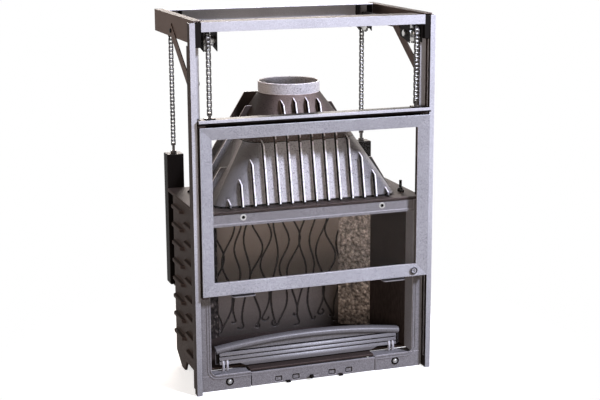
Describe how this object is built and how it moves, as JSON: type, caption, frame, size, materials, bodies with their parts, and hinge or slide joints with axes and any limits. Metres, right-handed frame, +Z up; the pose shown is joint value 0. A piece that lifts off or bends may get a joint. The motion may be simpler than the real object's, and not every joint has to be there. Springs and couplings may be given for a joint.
{
  "type": "fireplace insert",
  "caption": "Cast-iron fireplace insert with a rising glazed door on chains and counterweights, ribbed smoke hood, flue collar, ash drawer and log fender.",
  "frame": {"origin": "middle of the footprint, on the floor", "axes": "+Z up, +X to the right seen from the front, +Y from the door to the back"},
  "size_m": [0.84, 0.5622, 1.233],
  "materials": {
    "painted_steel": "satin",
    "painted_casting": "satin",
    "bare_casting": "matte",
    "bright_steel": "brushed",
    "black_steel": "satin",
    "stop_rubber": "matte",
    "door_glass": "gloss",
    "gasket_cloth": "woven"
  },
  "bodies": {
    "frame": {"left_upright": "painted_steel", "right_upright": "painted_steel", "left_side_channel": "painted_steel", "right_side_channel": "painted_steel", "front_beam": "painted_steel", "rear_beam": "painted_steel", "door_stops": "stop_rubber", "tray_braces": "painted_steel", "sprocket_brackets": "black_steel", "sprocket_axles": "bright_steel", "front_chain_strands": "bright_steel", "top_chain_runs": "bright_steel", "rear_chain_strands": "bright_steel", "front_lintel": "painted_casting", "left_front_stile": "painted_casting", "right_front_stile": "painted_casting", "left_corner_block": "painted_casting", "right_corner_block": "painted_casting", "left_side_wall": "bare_casting", "right_side_wall": "bare_casting", "back_wall": "bare_casting", "left_side_lining": "bare_casting", "right_side_lining": "bare_casting", "left_corner_panel": "bare_casting", "right_corner_panel": "bare_casting", "fireback": "bare_casting", "hearth_plate": "bare_casting", "ash_grate": "bare_casting", "smoke_baffle": "bare_casting", "top_plate": "painted_casting", "smoke_hood": "painted_casting", "flue_collar": "painted_casting", "log_fender": "painted_casting", "front_screws": "bright_steel", "frame_bolts": "black_steel"},
    "carriage": {"carriage_stiles": "painted_steel", "carriage_top_rail": "painted_steel", "carriage_bottom_rail": "painted_steel", "hinge_pins": "bright_steel", "lock_keeper": "black_steel", "guide_shoes": "bright_steel", "chain_anchors": "bright_steel"},
    "glazed_door": {"door_frame": "painted_casting", "glass_pane": "door_glass", "glass_gasket": "gasket_cloth", "glass_clips": "black_steel", "lift_tabs": "painted_casting"},
    "lock": {"door_lock": "bright_steel"},
    "left_weight": {"left_counterweight": "bare_casting", "left_counterweight_rod": "bright_steel"},
    "right_weight": {"right_counterweight": "bare_casting", "right_counterweight_rod": "bright_steel"},
    "front_left_wheel": {"left_front_sprocket": "bright_steel"},
    "front_right_wheel": {"right_front_sprocket": "bright_steel"},
    "rear_left_wheel": {"left_rear_sprocket": "bright_steel"},
    "rear_right_wheel": {"right_rear_sprocket": "bright_steel"},
    "ash_drawer": {"drawer_front": "painted_casting", "ash_pan": "black_steel"},
    "register": {"air_register": "painted_steel", "register_knob": "black_steel"}
  },
  "joints": [
    {"name": "door_lift", "type": "slide", "parent": "frame", "child": "carriage", "axis": [0, 0, 1], "range_m": [-0.29, 0.195], "deforming": ["front_chain_strands", "top_chain_runs", "rear_chain_strands"]},
    {"name": "door_swing", "type": "hinge", "parent": "carriage", "child": "glazed_door", "pos_m": [-0.39, -0.2491, 0.62], "axis": [0, 0, -1], "range_deg": [0, 90]},
    {"name": "lock_turn", "type": "hinge", "parent": "glazed_door", "child": "lock", "pos_m": [0.345, -0.2511, 0.3625], "axis": [0, -1, 0], "range_deg": [0, 90]},
    {"name": "left_weight_lift", "type": "slide", "parent": "frame", "child": "left_weight", "axis": [0, 0, 1], "range_m": [-0.195, 0.29]},
    {"name": "right_weight_lift", "type": "slide", "parent": "frame", "child": "right_weight", "axis": [0, 0, 1], "range_m": [-0.195, 0.29]},
    {"name": "front_left_wheel_turn", "type": "hinge", "parent": "frame", "child": "front_left_wheel", "pos_m": [-0.357, -0.19555, 1.165], "axis": [1, 0, 0], "range_deg": [-346, 513]},
    {"name": "front_right_wheel_turn", "type": "hinge", "parent": "frame", "child": "front_right_wheel", "pos_m": [0.357, -0.19555, 1.165], "axis": [1, 0, 0], "range_deg": [-346, 513]},
    {"name": "rear_left_wheel_turn", "type": "hinge", "parent": "frame", "child": "rear_left_wheel", "pos_m": [-0.357, 0.22355, 1.165], "axis": [1, 0, 0], "range_deg": [-346, 513]},
    {"name": "rear_right_wheel_turn", "type": "hinge", "parent": "frame", "child": "rear_right_wheel", "pos_m": [0.357, 0.22355, 1.165], "axis": [1, 0, 0], "range_deg": [-346, 513]},
    {"name": "drawer_slide", "type": "slide", "parent": "frame", "child": "ash_drawer", "axis": [0, -1, 0], "range_m": [0, 0.25]},
    {"name": "register_slide", "type": "slide", "parent": "ash_drawer", "child": "register", "axis": [1, 0, 0], "range_m": [0, 0.028]}
  ],
  "couplings": [
    {"joint": "left_weight_lift", "follows": "door_lift", "ratio": -1},
    {"joint": "right_weight_lift", "follows": "door_lift", "ratio": -1},
    {"joint": "front_left_wheel_turn", "follows": "door_lift", "rad_per_m": -30.723},
    {"joint": "front_right_wheel_turn", "follows": "door_lift", "rad_per_m": -30.723},
    {"joint": "rear_left_wheel_turn", "follows": "door_lift", "rad_per_m": -30.723},
    {"joint": "rear_right_wheel_turn", "follows": "door_lift", "rad_per_m": -30.723}
  ]
}
